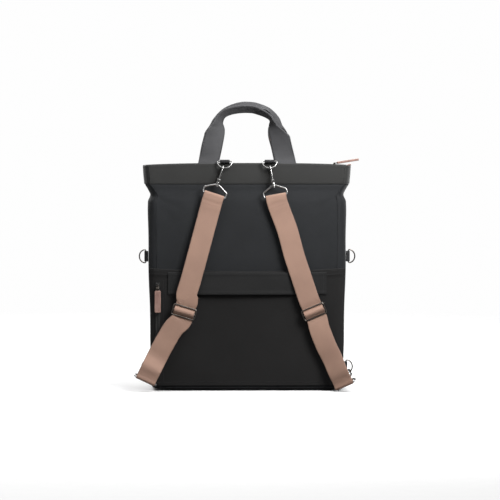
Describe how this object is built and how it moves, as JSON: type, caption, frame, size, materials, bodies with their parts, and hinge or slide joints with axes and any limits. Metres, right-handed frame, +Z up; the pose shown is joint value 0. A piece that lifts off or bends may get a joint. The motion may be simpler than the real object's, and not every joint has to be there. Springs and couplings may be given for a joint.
{
  "type": "convertible backpack",
  "caption": "Tall tote-shaped backpack with carry handles, clip-on shoulder straps, side D-rings, a luggage strap and a zipped mouth.",
  "frame": {"origin": "centre of the bag's base, on the floor", "axes": "+Z up, -Y towards the wearer (the side with the shoulder straps), +X to the right seen from the wearer's side"},
  "size_m": [0.417, 0.1586, 0.5339],
  "materials": {
    "body_fabric": "matt black polyester twill",
    "band_fabric": "matt black polyester, a little coarser and lighter",
    "pocket_fabric": "matt neutral black polyester",
    "black_webbing": "black ribbed webbing",
    "blush_webbing": "blush pink woven webbing",
    "blush_leather": "blush pink smooth leather",
    "bright_metal": "bright nickel plate",
    "dark_metal": "gunmetal plate",
    "zip": "black nylon coil"
  },
  "bodies": {
    "bag": {"bag_body": "body_fabric", "top_band": "band_fabric", "mouth_panel": "body_fabric", "top_zip": "zip", "end_tab": "blush_leather", "back_pocket": "pocket_fabric", "trolley_band": "band_fabric", "near_handle": "black_webbing", "near_left_lining": "blush_webbing", "near_right_lining": "blush_webbing", "far_handle": "black_webbing", "far_left_lining": "blush_webbing", "far_right_lining": "blush_webbing", "left_top_tab": "black_webbing", "left_top_ring": "bright_metal", "left_top_hook": "bright_metal", "left_top_loop": "bright_metal", "left_side_tab": "black_webbing", "left_low_tab": "black_webbing", "left_low_ring": "dark_metal", "left_low_hook": "bright_metal", "left_low_loop": "bright_metal", "left_strap": "blush_webbing", "left_slide": "dark_metal", "right_top_tab": "black_webbing", "right_top_ring": "bright_metal", "right_top_hook": "bright_metal", "right_top_loop": "bright_metal", "right_side_tab": "black_webbing", "right_low_tab": "black_webbing", "right_low_ring": "dark_metal", "right_low_hook": "bright_metal", "right_low_loop": "bright_metal", "right_strap": "blush_webbing", "right_slide": "dark_metal", "top_slider": "dark_metal", "pocket_zip": "zip", "pocket_slider": "dark_metal"},
    "left_top_gate": {"left_top_gate": "bright_metal"},
    "right_top_gate": {"right_top_gate": "bright_metal"},
    "left_low_gate": {"left_low_gate": "bright_metal"},
    "right_low_gate": {"right_low_gate": "bright_metal"},
    "left_side_ring": {"left_side_ring": "dark_metal"},
    "right_side_ring": {"right_side_ring": "dark_metal"},
    "top_pull": {"top_pull": "blush_leather"},
    "pocket_pull": {"pocket_pull": "blush_leather"}
  },
  "joints": [
    {"name": "left_top_gate_hinge", "type": "hinge", "parent": "bag", "child": "left_top_gate", "pos_m": [-0.05206, -0.06363, 0.38937], "axis": [-0.9511, 0, 0.309], "range_deg": [0, 20], "stiffness_Nm_per_rad": 0.002},
    {"name": "left_low_gate_hinge", "type": "hinge", "parent": "bag", "child": "left_low_gate", "pos_m": [-0.18632, -0.06512, 0.03184], "axis": [-0.8305, -0.1649, 0.5321], "range_deg": [0, 20], "stiffness_Nm_per_rad": 0.002},
    {"name": "left_side_ring_hinge", "type": "hinge", "parent": "bag", "child": "left_side_ring", "pos_m": [-0.18718, -0.041, 0.2478], "axis": [0, 0, 1], "range_deg": [-80, 80]},
    {"name": "right_top_gate_hinge", "type": "hinge", "parent": "bag", "child": "right_top_gate", "pos_m": [0.04708, -0.06376, 0.38831], "axis": [-0.9816, 0, -0.1908], "range_deg": [0, 20], "stiffness_Nm_per_rad": 0.002},
    {"name": "right_low_gate_hinge", "type": "hinge", "parent": "bag", "child": "right_low_gate", "pos_m": [0.18217, -0.06335, 0.02727], "axis": [-0.8041, 0.4062, -0.4341], "range_deg": [0, 20], "stiffness_Nm_per_rad": 0.002},
    {"name": "right_side_ring_hinge", "type": "hinge", "parent": "bag", "child": "right_side_ring", "pos_m": [0.18718, -0.041, 0.2478], "axis": [0, 0, 1], "range_deg": [-80, 80]},
    {"name": "top_pull_hinge", "type": "hinge", "parent": "bag", "child": "top_pull", "pos_m": [0.163, 0, 0.41901], "axis": [0, -1, 0], "range_deg": [-8, 150]},
    {"name": "pocket_pull_hinge", "type": "hinge", "parent": "bag", "child": "pocket_pull", "pos_m": [-0.165, -0.0694, 0.19], "axis": [-1, 0, 0], "range_deg": [-1, 150]}
  ]
}
